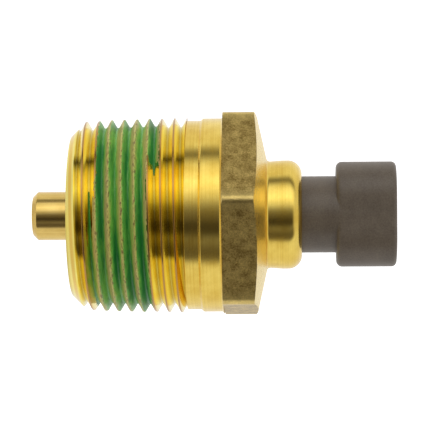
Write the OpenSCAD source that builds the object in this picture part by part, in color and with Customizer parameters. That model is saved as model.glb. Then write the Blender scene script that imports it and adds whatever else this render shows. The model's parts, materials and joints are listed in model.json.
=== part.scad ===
// Screw-in pressure switch: brass body with a tapered pipe thread, sprung
// diaphragm mechanism and a two-way sealed plastic connector.
// The axis lies along X. The origin is the centre of the body's front face,
// the thread and the hex follow towards +X, and the connector ends the part.

/* [Thread] */
// Outside diameter of the thread at the front face
thread_d = 32.95; // [28:0.05:40]
// Threads per inch
thread_tpi = 11.5; // [8:0.5:14]
// Length of axis in which the diameter grows by one
thread_taper = 16; // [12:1:40]
// Length of the threaded end, from the front face
thread_len = 20.15; // [16:0.1:30]
// Width of the flat on each crest
crest_flat = 0.22; // [0.1:0.01:0.4]
// Width of the flat at each root
root_flat = 0.1; // [0.05:0.01:0.3]
// Size of the 45 degree chamfer that leads into the thread
front_chamfer = 2.4; // [1:0.1:4]

/* [Thread sealant] */
// First turn that carries sealant, counted from the first whole thread
sealant_first_turn = 0.75; // [0:0.05:3]
// Number of coated turns
sealant_turns = 4.85; // [2:0.05:6]
// Thickness of the coat on the crests and flanks
sealant_t = 0.07; // [0.04:0.01:0.15]
// Extra fill at the bottom of each groove
sealant_fill = 0.3; // [0.1:0.05:0.6]

/* [Turned bands behind the thread] */
// Depth of the runout band below the last crest
band1_drop = 0.58; // [0.2:0.02:1.4]
// Length of the runout band
band1_len = 2.6; // [1:0.05:5]
// Step up from the runout band to the shoulder band
band2_rise = 0.4; // [0.1:0.02:1]
// Length of the shoulder band
band2_len = 3.75; // [1:0.05:6]

/* [Hex] */
// Width across flats
hex_af = 33.34; // [30:0.02:42]
// Length of the hex at the middle of a flat
hex_len = 5.98; // [4:0.02:12]
// Cut taken off each corner
hex_corner_break = 0.05; // [0:0.01:0.5]
// Turn of the top corner towards the near side
hex_turn = 22; // [0:1:60]
// Rise of the conical back face for each millimetre of radius
cone_slope = 0.22; // [0.1:0.005:0.6]

/* [Crimp collar] */
// Wall of the collar round the cavity
collar_wall = 1.4; // [0.8:0.05:3]
// Draft of the collar's wall towards the cone
collar_draft = 0.16; // [0:0.02:0.4]
// Length of the collar from the cone
collar_len = 6.05; // [5:0.05:9]
// Radius of the rolled end
collar_roll_r = 2.1; // [1:0.1:3]
// Thickness of the rolled lip
lip_t = 1.3; // [0.6:0.05:2]

/* [Body cavities] */
// Diameter of the pressure chamber
chamber_d = 9; // [7.5:0.1:11]
// Depth of the pressure chamber below the diaphragm at rest
chamber_depth = 0.5; // [0.2:0.05:2]
// Diameter of the drilled pressure passage
passage_d = 3.2; // [2:0.1:4.5]
// Length of the passage from the nozzle's shank to the chamber
passage_len = 6; // [5:0.1:9]
// Width of the seat groove for the diaphragm seal ring
seat_ring_w = 1.8; // [1.4:0.1:2.2]
// Depth of that groove
seat_ring_h = 1.1; // [0.8:0.1:1.4]
// Clearance round everything that drops into the cavity
fit_gap = 0.05; // [0.02:0.01:0.1]

/* [Inlet nozzle] */
// Diameter of the spigot in front of the body
nozzle_d = 8.5; // [6:0.1:12]
// Length of the spigot in front of the body
nozzle_len = 7.0; // [4:0.1:15]
// Chamfer at the tip
nozzle_chamfer = 0.85; // [0.2:0.05:1.5]
// Diameter of the shank pressed into the body
shank_d = 7; // [5:0.1:10]
// Diameter of the inlet bore
inlet_d = 2; // [1:0.1:3]

/* [Snubber] */
// Length of the snubber plug
snubber_len = 4; // [2:0.1:4.5]
// Diameter of its orifice
orifice_d = 0.6; // [0.3:0.05:1.5]

/* [Piston and guide] */
// Travel of the piston
travel = 0.7; // [0.5:0.05:0.9]
// Thickness of the diaphragm
diaphragm_t = 0.3; // [0.15:0.05:0.5]
// Diameter of the piston head
piston_head_d = 6.2; // [5:0.1:8]
// Thickness of the piston head
piston_head_t = 1.2; // [0.8:0.05:2]
// Diameter of the piston stem
stem_d = 4; // [3:0.1:5]
// Length of the guide ring
guide_len = 4; // [3:0.1:6]
// Radial running clearance of the stem in the guide ring
run_gap = 0.05; // [0.01:0.01:0.1]

/* [Contacts] */
// Open gap between each moving contact and its fixed one
contact_gap = 0.45; // [0.3:0.01:0.6]
// Space left between the contacts at full travel in the model
closed_gap = 0.03; // [0.01:0.01:0.1]
// Thickness of the contact bridge
bridge_t = 0.5; // [0.3:0.05:0.8]
// Diameter of the silver contacts
silver_d = 1.7; // [1:0.1:2.4]
// Height of the silver contacts
silver_h = 0.5; // [0.3:0.05:0.8]

/* [Springs] */
// Wire diameter of the set spring
set_wire = 0.8; // [0.5:0.05:0.9]
// Mean diameter of the set spring
set_spring_d = 5.9; // [4.9:0.1:7.2]
// Length of the set spring as fitted
set_spring_len = 6.2; // [5.6:0.1:9]
// Turns of the set spring
set_turns = 5; // [3:0.5:6]
// Wire diameter of the contact spring
contact_wire = 0.35; // [0.2:0.05:0.5]
// Length of the contact spring as fitted
contact_spring_len = 2.4; // [2:0.1:3]
// Clearance between the set spring and the sleeve round it
spring_gap = 0.15; // [0.1:0.01:0.4]

/* [Moulded pusher and base] */
// Wall of the pusher's sleeve
sleeve_wall = 0.7; // [0.5:0.05:1.2]
// Thickness of the pusher's spring flange
flange_t = 1.2; // [0.8:0.05:2]
// Reach of the clip outside the sleeve
clip_grip = 0.65; // [0.4:0.05:1]
// Thickness of the clip
clip_t = 0.5; // [0.3:0.05:0.8]
// Wall of the contact base
base_wall_t = 0.75; // [0.6:0.05:1.5]
// Thickness of the contact base's end wall
wall_t = 1.2; // [0.8:0.05:2]

/* [Terminals] */
// Width of each terminal blade
blade_w = 1.5; // [1:0.1:2]
// Thickness of each terminal blade
blade_t = 0.8; // [0.5:0.05:0.9]
// Distance between the two blades
blade_pitch = 5.8; // [4.8:0.1:7]
// Distance from the blade tips to the connector's open end
blade_inset = 2.1; // [0:0.1:5]

/* [Connector housing] */
// Length of the flange inside the body
flange_len = 6.94; // [5.5:0.02:10]
// Step from the flange down to the round neck
flange_step = 1.4; // [1:0.05:2.2]
// Length of the neck behind the collar
neck_len = 5.95; // [3:0.05:12]
// Height of the oval head
head_h = 18.35; // [16:0.05:24]
// Width of the oval head
head_w = 13.35; // [11:0.05:18]
// Length of the oval head
head_len = 10.45; // [8:0.05:20]
// Corner radius of the oval head
head_r = 5.95; // [4:0.05:6.2]
// Wall of the oval head
head_wall = 1.7; // [1.2:0.05:2.5]
// Depth of the socket
socket_depth = 9.0; // [7:0.1:9.5]
// Depth of the narrow well in the socket's floor
well_depth = 4.0; // [1:0.1:6]
// Length of the latch ramp on the back flat
latch_len = 3.2; // [2:0.1:5]
// Height of the latch ramp
latch_h = 1.2; // [0.6:0.1:1.6]

/* [Hidden] */
$fn = 96;
pitch = 25.4 / thread_tpi;
flank_angle = 30;
thread_depth = (pitch - crest_flat - root_flat) / 2 / tan(flank_angle);
thread_steps = 40;
// Place of a crest on the +Y side, which sets how the thread is timed
crest_x = 1.98;
// Overlap that joins neighbouring shapes of one solid
weld = 0.02;

// From the axis outwards: spring, sleeve, clip, contacts, base, cavity, collar
sleeve_in_r = set_spring_d / 2 + set_wire / 2 + spring_gap;
sleeve_r = sleeve_in_r + sleeve_wall;
clip_r = sleeve_r + clip_grip;
clip_groove = 0.4 * sleeve_wall;
clip_in_r = sleeve_r - clip_groove;
bridge_in_r = sleeve_r + fit_gap;
pad_gap = 0.2;
pad_margin = 0.05;
pad_in = clip_r + pad_gap;
silver_at = pad_in + pad_margin + silver_d / 2;
pad_out = silver_at + silver_d / 2 + 2 * pad_margin;
bridge_r = pad_out;
base_gap = 0.4;
flange_step_in = 0.5;
hub_wall = 1.2;
contact_spring_gap = 0.825;
dish_margin = 0.1;
rim_min = 0.2;
base_in_r = bridge_r + base_gap;
insert_r = base_in_r + base_wall_t;
cavity_r = insert_r + fit_gap;
collar_r = cavity_r + collar_wall;
collar_base_r = collar_r - collar_draft;
flange_r = bridge_r - flange_step_in;
hub_r = stem_d / 2 + hub_wall;
contact_spring_d = 2 * (sleeve_r + contact_spring_gap) + contact_wire;
seat_ring_d = chamber_d / 2 + cavity_r;
dish_r = piston_head_d / 2 + dish_margin;
rim_r = max(chamber_d / 2 - dish_margin, dish_r + rim_min);

// From the front face back to the connector's open end
front_face_r = thread_d / 2 - front_chamfer;
thread_end_r = thread_d / 2 + thread_len / thread_taper / 2;
band1_r = thread_end_r - band1_drop;
band2_r = band1_r + band2_rise;
band1_x = thread_len;
band2_x = band1_x + band1_len;
hex_x = band2_x + band2_len;
hex_end = hex_x + hex_len;
hex_corner_r = hex_af / 2 / cos(30);
cone_end = hex_end + (hex_af / 2 - collar_base_r) * cone_slope;
collar_end = cone_end + collar_len;
lip_x = collar_end - lip_t;
head_x = collar_end + neck_len;
head_end = head_x + head_len;
socket_x = head_end - socket_depth;
well_x = socket_x - well_depth;
blade_tip = head_end - blade_inset;

// From the rolled lip forward through the mechanism to the nozzle
washer_t = 0.5;
housing_flange_end = lip_x - washer_t;
housing_x = housing_flange_end - flange_len;
base_end = housing_x;
wall_end = base_end - blade_t;
wall_x = wall_end - wall_t;
shim_t = 0.4;
shim_in_r = 1.4;
shim_x = wall_x - shim_t;
seat_x = shim_x - set_spring_len;
flange_x = seat_x - flange_t;
hub_len = 1.05;
pusher_x = flange_x - hub_len;
stem_end = flange_x + flange_t / 3;
guide_end = pusher_x - fit_gap;
guide_x = guide_end - guide_len;
floor_x = guide_x - diaphragm_t;
chamber_x = floor_x - travel - chamber_depth;
shank_len = chamber_x - passage_len;

// The piston and the contacts, from the pusher's spring seat
piston_x = guide_x - travel;
piston_head_end = piston_x + piston_head_t;
head_gap = 0.3;
stop_x = piston_head_end + travel + fit_gap;
bridge_x = seat_x + contact_spring_len;
bridge_end = bridge_x + bridge_t;
bridge_travel = contact_gap - closed_gap;
clip_x = bridge_end + fit_gap;
sleeve_tail = 0.7;
sleeve_end = clip_x + clip_t + sleeve_tail;
fixed_x = bridge_end + silver_h + contact_gap;
pad_x = fixed_x + silver_h;
pad_end = pad_x + blade_t;
pad_lap = 0.7;
post_lap = 0.9;
pad_w = blade_w + pad_lap;
post_w = blade_w + post_lap;

ring_groove_w = 2;
ring_groove_at = 2.6;
ring_groove_x = housing_x + ring_groove_at;
ring_section = 1.2;
ring_side_gap = 0.1;
neck_r = insert_r - flange_step + fit_gap;
head_corner = min(head_r, head_w / 2 - 0.05);
blade_z = blade_pitch / 2;
well_margin = 3.2;
well_h = blade_pitch + well_margin;
well_w = 5;
well_r = 1.5;
potting_depth = 1.6;
potting_margin = 3.4;
potting_h = blade_pitch + potting_margin;
potting_w = 3.6;
potting_r = 1.2;
latch_w = 5;
latch_inset = 1.5;
latch_flat = 0.4;
latch_root = 1;
blade_taper = 0.25;

brass = "goldenrod";
pale_brass = "khaki";
steel = "silver";
plastic = "dimgray";

// ---- shared shapes ----

// Turns +Z to +X
module along_x() {
    rotate([0, 90, 0]) children();
}

// A turned solid from [radius, x] points
module turned(points) {
    along_x() rotate_extrude() polygon(points);
}

// A plain round bar from x0 to x1
module bar(x0, x1, r) {
    along_x() translate([0, 0, x0]) cylinder(h = x1 - x0, r = r);
}

// A ring from x0 to x1
module ring(x0, x1, r_out, r_in) {
    difference() {
        bar(x0, x1, r_out);
        bar(x0 - 1, x1 + 1, r_in);
    }
}

// A box given by its limits
module block(x, y, z) {
    translate([x[0], y[0], z[0]])
        cube([x[1] - x[0], y[1] - y[0], z[1] - z[0]]);
}

// An upright oval bar, w wide along Y and h high along Z
module oval_bar(x0, x1, w, h, r) {
    translate([x0, 0, 0]) rotate([90, 0, 90]) linear_extrude(x1 - x0) {
        square([w - 2 * r, h], center = true);
        square([w, h - 2 * r], center = true);
        for (y = [-1, 1], z = [-1, 1])
            translate([y * (w / 2 - r), z * (h / 2 - r)]) circle(r);
    }
}

// ---- pipe thread ----

function thread_r(x) = thread_d / 2 + x / thread_taper / 2;
// Offsets along the axis from the crest's middle, and below the crest
thread_form = [
    [-crest_flat / 2, 0], [crest_flat / 2, 0],
    [pitch / 2 - root_flat / 2, -thread_depth],
    [pitch / 2 + root_flat / 2, -thread_depth]
];
form_n = len(thread_form);
// The same outline with the sealant on it
coat_form = [
    for (p = thread_form)
        [p[0], p[1] + sealant_t + (p[1] < 0 ? sealant_fill : 0)]
];

// One point of a helical surface: step s round the helix, point k of form
function helix_point(s, k, form) =
    let (x = crest_x + form[k][0] + pitch * s / thread_steps,
         r = thread_r(x) + form[k][1],
         a = 360 * s / thread_steps)
    [x, r * cos(a), r * sin(a)];

// Points s0 to s1 of a helical surface, form_n to a step
function helix_points(s0, s1, form) = [
    for (s = [s0:s1], k = [0:form_n - 1]) helix_point(s, k, form)
];

// Both triangles of a four-sided face
function split(a, b, c, d) = [[a, b, c], [a, c, d]];

// Triangles of a helical surface of n steps whose points start at first
function helix_faces(n, first) = concat(
    [for (s = [0:n - 1], k = [0:form_n - 2])
        for (f = split(first + s * form_n + k,
                       first + s * form_n + k + 1,
                       first + (s + 1) * form_n + k + 1,
                       first + (s + 1) * form_n + k)) f],
    [for (s = [0:n - thread_steps - 1])
        for (f = split(first + s * form_n + form_n - 1,
                       first + (s + thread_steps) * form_n,
                       first + (s + thread_steps + 1) * form_n,
                       first + (s + 1) * form_n + form_n - 1)) f]
);

// The open edges of that surface, in order, at its start and at its end
function start_edge(first) = concat(
    [for (s = [0:thread_steps]) first + s * form_n],
    [for (k = [form_n - 1:-1:1]) first + k]
);
function end_edge(n, first) = concat(
    [for (s = [n:-1:n - thread_steps]) first + s * form_n + form_n - 1],
    [for (k = [0:form_n - 2]) first + n * form_n + k]
);

// Closes an edge loop with a fan to one point
function fan(loop, tip) = [
    for (i = [0:len(loop) - 1]) [loop[i], loop[(i + 1) % len(loop)], tip]
];

// Joins two edge loops of equal length with a band
function band(a, b) = [
    for (i = [0:len(a) - 1], j = [(i + 1) % len(a)])
        for (f = split(a[i], a[j], b[j], b[i])) f
];

// The solid inside the thread's surface, longer than the thread at both ends
module thread_core() {
    s0 = -3 * thread_steps;
    n = ceil(thread_len / pitch + 4) * thread_steps;
    pts = helix_points(s0, s0 + n, thread_form);
    x0 = pts[0][0];
    x1 = pts[len(pts) - 1][0];
    polyhedron(
        points = concat(pts, [[x0, 0, 0], [x1, 0, 0]]),
        faces = concat(helix_faces(n, 0), fan(start_edge(0), len(pts)),
                       fan(end_edge(n, 0), len(pts) + 1))
    );
}

// The coat: a helical surface on the thread and one above it, joined at
// their edges
module sealant_coat() {
    s0 = round(sealant_first_turn * thread_steps);
    n = round(sealant_turns * thread_steps);
    outer = helix_points(s0, s0 + n, coat_form);
    inner = helix_points(s0, s0 + n, thread_form);
    m = len(outer);
    inner_faces = [for (f = helix_faces(n, m)) [f[2], f[1], f[0]]];
    polyhedron(
        points = concat(outer, inner),
        faces = concat(helix_faces(n, 0), inner_faces,
                       band(start_edge(0), start_edge(m)),
                       band(end_edge(n, 0), end_edge(n, m)))
    );
}

// ---- coil springs ----

// Height of a spring's wire after t turns, with one closed turn at each end
function coil_x(t, turns, wire, len) =
    let (dead = 0.8, active = turns - 2 * dead,
         rise = len - wire - 2 * dead * wire)
    t < dead ? t * wire
    : t > turns - dead ? len - wire - (turns - t) * wire
    : dead * wire + (t - dead) / active * rise;

module coil(x0, len, d, wire, turns, steps, sides) {
    n = ceil(turns * steps);
    pts = [
        for (i = [0:n], k = [0:sides - 1])
            let (t = i / n * turns, a = 360 * t, b = 360 * k / sides,
                 r = d / 2 + wire / 2 * cos(b))
            [x0 + wire / 2 + coil_x(t, turns, wire, len) + wire / 2 * sin(b),
             r * cos(a), r * sin(a)]
    ];
    sides_faces = [
        for (i = [0:n - 1], k = [0:sides - 1])
            let (l = (k + 1) % sides)
            for (f = split(i * sides + k, (i + 1) * sides + k,
                           (i + 1) * sides + l, i * sides + l)) f
    ];
    first_end = [[for (k = [0:sides - 1]) k]];
    last_end = [[for (k = [sides - 1:-1:0]) n * sides + k]];
    polyhedron(points = pts, faces = concat(sides_faces, first_end, last_end));
}

// ---- brass parts ----

module brass_body() {
    clear_r = thread_end_r + 1;
    color(brass) difference() {
        union() {
            // thread, cut to length and chamfered in front
            intersection() {
                thread_core();
                turned([
                    [0, 0], [front_face_r, 0],
                    [clear_r, clear_r - front_face_r],
                    [clear_r, thread_len], [0, thread_len]
                ]);
            }
            // two turned bands with a small chamfer between them
            turned([
                [0, band1_x - weld], [band1_r, band1_x - weld],
                [band1_r, band2_x - band2_rise / 2],
                [band2_r, band2_x + band2_rise / 2],
                [band2_r, hex_x], [0, hex_x]
            ]);
            hex_and_cone();
            collar();
        }
        bar(-1, shank_len, shank_d / 2);
        bar(shank_len - 1, floor_x, passage_d / 2);
        bar(chamber_x, floor_x + 1, chamber_d / 2);
        ring(floor_x - seat_ring_h, floor_x + 1,
             seat_ring_d / 2 + seat_ring_w / 2,
             seat_ring_d / 2 - seat_ring_w / 2);
        bar(floor_x, lip_x, cavity_r);
        bar(lip_x - 1, collar_end + 1, neck_r + fit_gap);
    }
}

// Hex blank under the cone that faces its back and chamfers its corners
module hex_and_cone() {
    edge_r = hex_corner_r - hex_corner_break;
    back_x = hex_end - (edge_r - hex_af / 2) * cone_slope;
    intersection() {
        along_x() translate([0, 0, hex_x - weld]) rotate([0, 0, hex_turn])
            cylinder(h = cone_end - hex_x + weld, r = hex_corner_r, $fn = 6);
        turned([
            [0, hex_x - weld], [edge_r, hex_x - weld], [edge_r, back_x],
            [collar_base_r, cone_end], [0, cone_end]
        ]);
    }
}

module collar() {
    r = collar_r;
    along_x() rotate_extrude() {
        polygon([
            [0, hex_end], [collar_base_r, hex_end], [collar_base_r, cone_end],
            [r, cone_end + (collar_len - collar_roll_r) * 0.8],
            [r, collar_end - collar_roll_r], [0, collar_end - collar_roll_r]
        ]);
        translate([0, collar_end - collar_roll_r])
            square([r - collar_roll_r, collar_roll_r]);
        intersection() {
            translate([r - collar_roll_r, collar_end - collar_roll_r])
                circle(collar_roll_r);
            translate([r - collar_roll_r, collar_end - collar_roll_r])
                square(collar_roll_r);
        }
    }
}

// Turned spigot with a pressed shank, drilled through
module inlet_nozzle() {
    r = nozzle_d / 2;
    color(pale_brass) turned([
        [inlet_d / 2, -nozzle_len], [r - nozzle_chamfer, -nozzle_len],
        [r, nozzle_chamfer - nozzle_len], [r, 0], [shank_d / 2, 0],
        [shank_d / 2, shank_len], [inlet_d / 2, shank_len]
    ]);
}

// Plug with a fine orifice that damps pressure spikes
module snubber_plug() {
    x0 = (shank_len + chamber_x - snubber_len) / 2;
    color(steel) ring(x0, x0 + snubber_len, passage_d / 2, orifice_d / 2);
}

// Green coat on the middle turns of the thread
module thread_sealant() {
    color("seagreen") sealant_coat();
}

// ---- pressure side ----

// Squeezed ring that fills its groove
module diaphragm_seal_ring() {
    r = seat_ring_h / 2;
    half = seat_ring_w / 2 - r;
    color("black") along_x() translate([0, 0, floor_x - r]) rotate_extrude() {
        for (side = [-1, 1])
            translate([seat_ring_d / 2 + side * half, 0]) circle(r);
        translate([seat_ring_d / 2 - half, -r]) square([2 * half, 2 * r]);
    }
}

// Dished sheet, clamped at its rim by the guide ring
module diaphragm() {
    color("peru") turned([
        [0, floor_x - travel], [dish_r, floor_x - travel], [rim_r, floor_x],
        [insert_r, floor_x], [insert_r, guide_x], [rim_r, guide_x],
        [dish_r, guide_x - travel], [0, guide_x - travel]
    ]);
}

// Clamps the diaphragm, guides the stem and stops the piston head
module guide_ring() {
    color(pale_brass) difference() {
        bar(guide_x, guide_end, insert_r);
        bar(guide_x - 1, stop_x, piston_head_d / 2 + head_gap);
        bar(guide_x, guide_end + 1, stem_d / 2 + run_gap);
    }
}

module pressure_piston() {
    color(steel) {
        bar(piston_x, piston_head_end, piston_head_d / 2);
        bar(piston_head_end, stem_end, stem_d / 2);
    }
}

// ---- contact mechanism ----

// Moulded pusher: hub on the stem, spring flange and grooved sleeve
module insulating_pusher() {
    color("saddlebrown") difference() {
        union() {
            bar(pusher_x, seat_x, hub_r);
            bar(flange_x, seat_x, flange_r);
            bar(seat_x - 1, sleeve_end, sleeve_r);
        }
        bar(pusher_x - 1, stem_end, stem_d / 2);
        bar(seat_x, sleeve_end + 1, sleeve_in_r);
        ring(clip_x, clip_x + clip_t, sleeve_r + 1, clip_in_r);
    }
}

// Light spring that presses the bridge against its clip
module contact_spring() {
    turns = 3.5;
    color(steel) coil(seat_x, contact_spring_len, contact_spring_d,
                      contact_wire, turns, steps = 24, sides = 6);
}

// Sprung ring that joins the two fixed contacts when it is pushed home
module contact_bridge() {
    color("gold") ring(bridge_x, bridge_end, bridge_r, bridge_in_r);
}

module moving_contacts() {
    color("white") for (side = [-1, 1])
        translate([0, 0, side * silver_at])
            bar(bridge_end, bridge_end + silver_h, silver_d / 2);
}

// Open clip in the sleeve's groove
module bridge_clip() {
    color(steel) difference() {
        ring(clip_x, clip_x + clip_t, clip_r, clip_in_r);
        block([clip_x - 1, clip_x + clip_t + 1], [0, clip_r + 1],
              [-clip_in_r / 2, clip_in_r / 2]);
    }
}

module set_spring() {
    color(steel) coil(seat_x, set_spring_len, set_spring_d, set_wire,
                      set_turns, steps = 24, sides = 8);
}

// Washer chosen at assembly to set the switching pressure
module calibration_shim() {
    color(steel) ring(shim_x, wall_x, set_spring_d / 2 + set_wire / 2, shim_in_r);
}

// Moulded cup that holds the terminals and backs the set spring
module contact_base() {
    color("ivory") difference() {
        union() {
            ring(guide_end, base_end, insert_r, base_in_r);
            bar(wall_x, wall_end, insert_r);
            for (side = [-1, 1])
                mirror([0, 0, side < 0 ? 1 : 0])
                    block([pad_end, wall_x], [-post_w / 2, post_w / 2],
                          [pad_in, pad_out - blade_t]);
        }
        for (side = [-1, 1])
            mirror([0, 0, side < 0 ? 1 : 0])
                block([wall_x - 1, wall_end + 1], [-blade_w / 2, blade_w / 2],
                      [pad_out - blade_t, pad_out]);
    }
}

module fixed_contacts() {
    color("white") for (side = [-1, 1])
        translate([0, 0, side * silver_at])
            bar(fixed_x, pad_x, silver_d / 2);
}

// Bent strip: contact pad, leg through the base, and connector blade
module terminal_blade() {
    color("tan") {
        block([pad_x, pad_end], [-pad_w / 2, pad_w / 2], [pad_in, pad_out]);
        block([pad_x, base_end], [-blade_w / 2, blade_w / 2],
              [pad_out - blade_t, pad_out]);
        block([wall_end, base_end], [-blade_w / 2, blade_w / 2],
              [blade_z - blade_t / 2, pad_out]);
        translate([0, blade_w / 2, 0]) rotate([90, 0, 0])
            linear_extrude(blade_w) polygon([
                [wall_end, blade_z - blade_t / 2],
                [blade_tip - 2 * blade_taper, blade_z - blade_t / 2],
                [blade_tip, blade_z - blade_t / 2 + blade_taper],
                [blade_tip, blade_z + blade_t / 2 - blade_taper],
                [blade_tip - 2 * blade_taper, blade_z + blade_t / 2],
                [wall_end, blade_z + blade_t / 2]
            ]);
    }
}

module terminal_blade_upper() {
    terminal_blade();
}

module terminal_blade_lower() {
    mirror([0, 0, 1]) terminal_blade();
}

// The two slots that the blades pass through
module blade_slots(x0, x1) {
    for (z = [-blade_z, blade_z])
        block([x0, x1], [-blade_w / 2, blade_w / 2],
              [z - blade_t / 2, z + blade_t / 2]);
}

// Resin poured round the blades
module terminal_potting() {
    color("black") difference() {
        oval_bar(housing_x, housing_x + potting_depth, potting_w, potting_h,
                 potting_r);
        blade_slots(housing_x - 1, housing_x + potting_depth + 1);
    }
}

// ---- connector ----

// Moulded housing: flange held by the collar, round neck, oval socket
module connector_housing() {
    color(plastic) difference() {
        union() {
            bar(housing_x, housing_flange_end, insert_r);
            bar(housing_flange_end, head_x, neck_r);
            oval_bar(head_x, head_end, head_w, head_h, head_corner);
            latch_ramp();
        }
        ring(ring_groove_x, ring_groove_x + ring_groove_w, insert_r + 1,
             cavity_r - ring_section);
        oval_bar(housing_x - 1, housing_x + potting_depth, potting_w,
                 potting_h, potting_r);
        blade_slots(housing_x, well_x + 1);
        oval_bar(socket_x, head_end + 1, head_w - 2 * head_wall,
                 head_h - 2 * head_wall, head_corner - head_wall);
        oval_bar(well_x, socket_x + 1, well_w, well_h, well_r);
    }
}

// Ramp that the mating plug's latch snaps over
module latch_ramp() {
    y = head_w / 2;
    low = -latch_len - latch_flat;
    translate([head_end - latch_inset, 0, -latch_w / 2]) linear_extrude(latch_w)
        polygon([[low, y - latch_root], [0, y - latch_root], [0, y],
                 [-latch_len, y + latch_h], [low, y + latch_h]]);
}

module housing_seal_ring() {
    r = ring_section / 2;
    half = ring_groove_w / 2 - r - ring_side_gap;
    color("black") along_x()
        translate([0, 0, ring_groove_x + ring_groove_w / 2])
            rotate_extrude() {
                for (side = [-1, 1])
                    translate([cavity_r - r, side * half]) circle(r);
                translate([cavity_r - 2 * r, -half]) square([2 * r, 2 * half]);
            }
}

// Spreads the lip's load on the plastic flange
module crimp_washer() {
    color(steel) ring(housing_flange_end, lip_x, insert_r, neck_r + fit_gap);
}

brass_body();
inlet_nozzle();
snubber_plug();
thread_sealant();
diaphragm_seal_ring();
diaphragm();
guide_ring();
pressure_piston();
insulating_pusher();
contact_spring();
contact_bridge();
moving_contacts();
bridge_clip();
set_spring();
calibration_shim();
contact_base();
fixed_contacts();
terminal_blade_upper();
terminal_blade_lower();
terminal_potting();
connector_housing();
housing_seal_ring();
crimp_washer();
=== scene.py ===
import json
import math

import bmesh
import bpy
from mathutils import Matrix, Vector, noise


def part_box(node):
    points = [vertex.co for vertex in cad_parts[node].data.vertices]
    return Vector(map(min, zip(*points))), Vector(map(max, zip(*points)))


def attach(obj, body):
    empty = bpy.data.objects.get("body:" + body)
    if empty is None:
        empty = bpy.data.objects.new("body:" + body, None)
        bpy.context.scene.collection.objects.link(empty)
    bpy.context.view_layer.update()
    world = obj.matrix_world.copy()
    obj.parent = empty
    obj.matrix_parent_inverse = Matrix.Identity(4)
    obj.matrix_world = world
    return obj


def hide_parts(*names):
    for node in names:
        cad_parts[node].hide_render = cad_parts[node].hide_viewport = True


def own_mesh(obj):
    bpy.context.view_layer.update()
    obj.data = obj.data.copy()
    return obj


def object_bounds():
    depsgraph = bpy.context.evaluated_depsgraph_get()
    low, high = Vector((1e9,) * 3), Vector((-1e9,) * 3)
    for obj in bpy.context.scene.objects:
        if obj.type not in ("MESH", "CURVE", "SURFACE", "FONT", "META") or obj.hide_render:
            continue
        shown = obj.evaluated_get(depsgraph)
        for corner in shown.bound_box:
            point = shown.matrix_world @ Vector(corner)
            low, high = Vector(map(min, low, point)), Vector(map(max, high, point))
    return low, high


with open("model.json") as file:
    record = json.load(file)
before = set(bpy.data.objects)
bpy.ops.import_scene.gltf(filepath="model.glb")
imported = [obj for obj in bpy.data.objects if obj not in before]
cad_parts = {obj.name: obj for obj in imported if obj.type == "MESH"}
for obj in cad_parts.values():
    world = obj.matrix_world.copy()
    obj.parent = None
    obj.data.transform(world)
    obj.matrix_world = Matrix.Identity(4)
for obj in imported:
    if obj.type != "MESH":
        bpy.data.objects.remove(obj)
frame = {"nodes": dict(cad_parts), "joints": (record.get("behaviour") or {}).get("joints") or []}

cad_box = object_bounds()

# ---- Studio: camera, light and floor ----
# A long lens, level with the part's axis and nearly square to it. The light is
# one wide white sky with dark flags towards the lens, as in a tent for shiny
# metal, over a pale floor that curves up into a pale wall all round.

MM = 0.001


def linear(code):
    """An sRGB hex colour as linear red, green, blue and alpha."""
    shares = [int(code[i:i + 2], 16) / 255 for i in (1, 3, 5)]
    return [s / 12.92 if s <= 0.04045 else ((s + 0.055) / 1.055) ** 2.4
            for s in shares] + [1]


def add_node(tree, kind, inputs=None, stops=(), **settings):
    """Adds one node. An input is a value or another node's output, and a
    stop is a place on a colour ramp with a grey level or a colour."""
    made = tree.nodes.new("ShaderNode" + kind)
    for name, value in settings.items():
        setattr(made, name, value)
    for socket, value in (inputs or {}).items():
        if isinstance(value, bpy.types.NodeSocket):
            tree.links.new(value, made.inputs[socket])
        else:
            made.inputs[socket].default_value = value
    for i, (place, value) in enumerate(stops):
        if i > 1:
            made.color_ramp.elements.new(place)
        made.color_ramp.elements[i].position = place
        made.color_ramp.elements[i].color = (
            value if isinstance(value, list) else [value] * 3 + [1])
    return made


camera_data = bpy.data.cameras.new("camera")
camera_data.lens = 181.7
camera_data.sensor_width = 36
camera_data.clip_start, camera_data.clip_end = 0.01, 20
camera = bpy.data.objects.new("camera", camera_data)
bpy.context.scene.collection.objects.link(camera)
look_at_x, camera_far = 24.9 * MM, 380.8 * MM
side_turn, camera_roll = math.radians(2), math.radians(0.36)
camera.matrix_world = (
    Matrix.Translation((look_at_x, 0, 0)) @ Matrix.Rotation(side_turn, 4, "Z")
    @ Matrix.Translation((0, -camera_far, 0))
    @ Matrix.Rotation(camera_roll, 4, "Y")
    @ Matrix.Rotation(math.radians(90), 4, "X"))
bpy.context.scene.camera = camera
bpy.context.scene.view_settings.view_transform = "Standard"

# The sky's brightness by its height above the lens side's horizon, in
# degrees: dark flags round the lens, a soft box over it, white elsewhere
sky_levels = [
    (-180, 0.9), (-62, 0.85), (-54, 0.1), (-42, 0.1), (-30, 0.22),
    (-20, 0.045), (-10, 0.045), (-3, 0.12), (4, 0.16), (12, 0.34),
    (21, 0.8), (38, 1.45),
    (62, 1.0), (71, 0.45), (78, 0.05), (84, 0.35), (93, 0.9), (180, 0.95)]
sky_strength = 1.5
# The flags are brown card, so sky darker than this is tinted towards brown
flag_below, flag_tint = 0.3, (1.12, 0.95, 0.8)
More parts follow.
